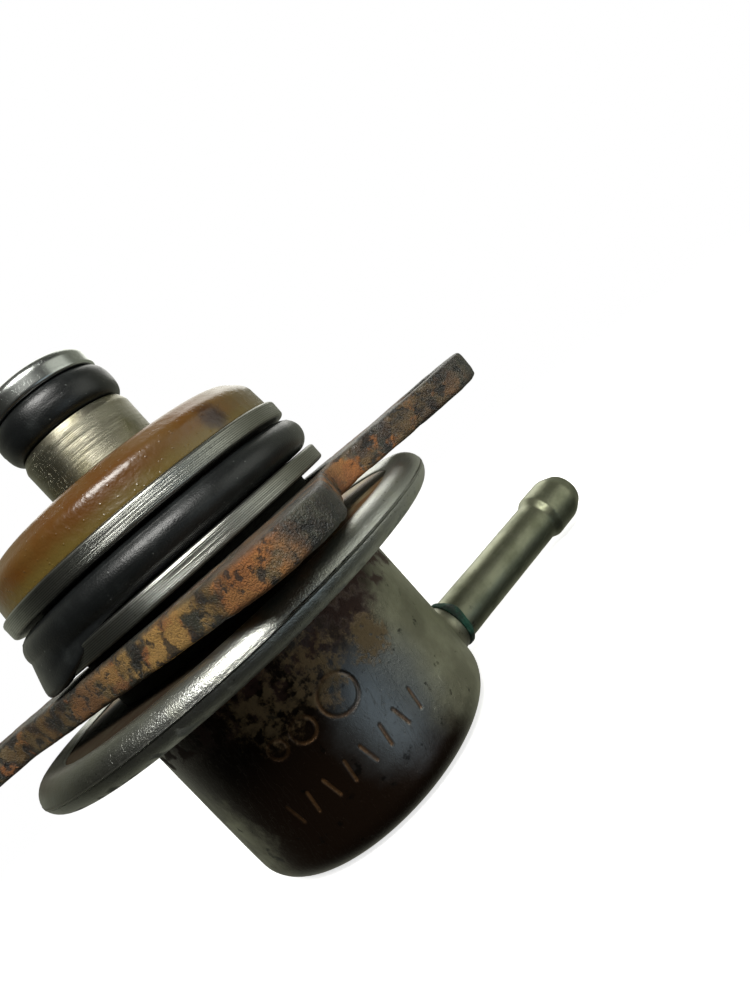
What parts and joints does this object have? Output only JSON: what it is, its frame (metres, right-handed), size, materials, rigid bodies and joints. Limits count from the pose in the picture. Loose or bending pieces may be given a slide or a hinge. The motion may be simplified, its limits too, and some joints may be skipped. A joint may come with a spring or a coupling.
{
  "type": "diaphragm pressure regulator",
  "caption": "Plug-in diaphragm pressure regulator with a rolled bead, side vacuum nipple, sealed gland, inlet strainer, return nose and a loose mounting plate.",
  "frame": {"origin": "centre of the spring housing's flat bottom", "axes": "+Z along the turned axis to the return nose, +X along the vacuum nipple to its tip"},
  "size_m": [0.0708, 0.0582, 0.0509],
  "materials": {
    "housing_steel": "pressed, stained dark",
    "nipple_steel": "dull, tarnished",
    "braze": "verdigris",
    "shell_steel": "pressed, stained",
    "turned_steel": "turned, fine circular lines",
    "tube_steel": "turned, stained",
    "black_rubber": "satin",
    "amber_nylon": "aged, translucent",
    "mesh_nylon": "fine woven",
    "rusted_steel": "rusted",
    "spring_steel": "satin",
    "bright_steel": "ground",
    "coated_cloth": "fine cloth grain"
  },
  "bodies": {
    "regulator": {"spring_housing": "housing_steel", "vacuum_nipple": "nipple_steel", "nipple_braze": "braze", "outer_spring_seat": "spring_steel", "fuel_shell": "shell_steel", "gland_ring": "turned_steel", "return_tube": "tube_steel", "tube_braze": "braze", "valve_seat": "bright_steel", "strainer_frame": "amber_nylon", "strainer_mesh": "mesh_nylon", "main_o_ring": "black_rubber", "nose_o_ring": "black_rubber", "diaphragm": "coated_cloth", "pressure_spring": "spring_steel"},
    "plate": {"mounting_plate": "rusted_steel"},
    "valve_carrier": {"spring_plate": "spring_steel", "backing_plate": "spring_steel", "valve_holder": "bright_steel", "clamp_washer": "spring_steel", "valve_ball": "bright_steel", "ball_spring": "spring_steel", "valve_disc": "bright_steel", "disc_retainer": "spring_steel"}
  },
  "joints": [
    {"name": "plate_turn", "type": "hinge", "parent": "regulator", "child": "plate", "pos_m": [0, 0, 0.0257], "axis": [0, 0, 1], "continuous": true},
    {"name": "valve_lift", "type": "slide", "parent": "regulator", "child": "valve_carrier", "axis": [0, 0, -1], "range_m": [0, 0.0004], "stiffness_N_per_m": 15000, "deforming": ["pressure_spring", "diaphragm"]}
  ]
}
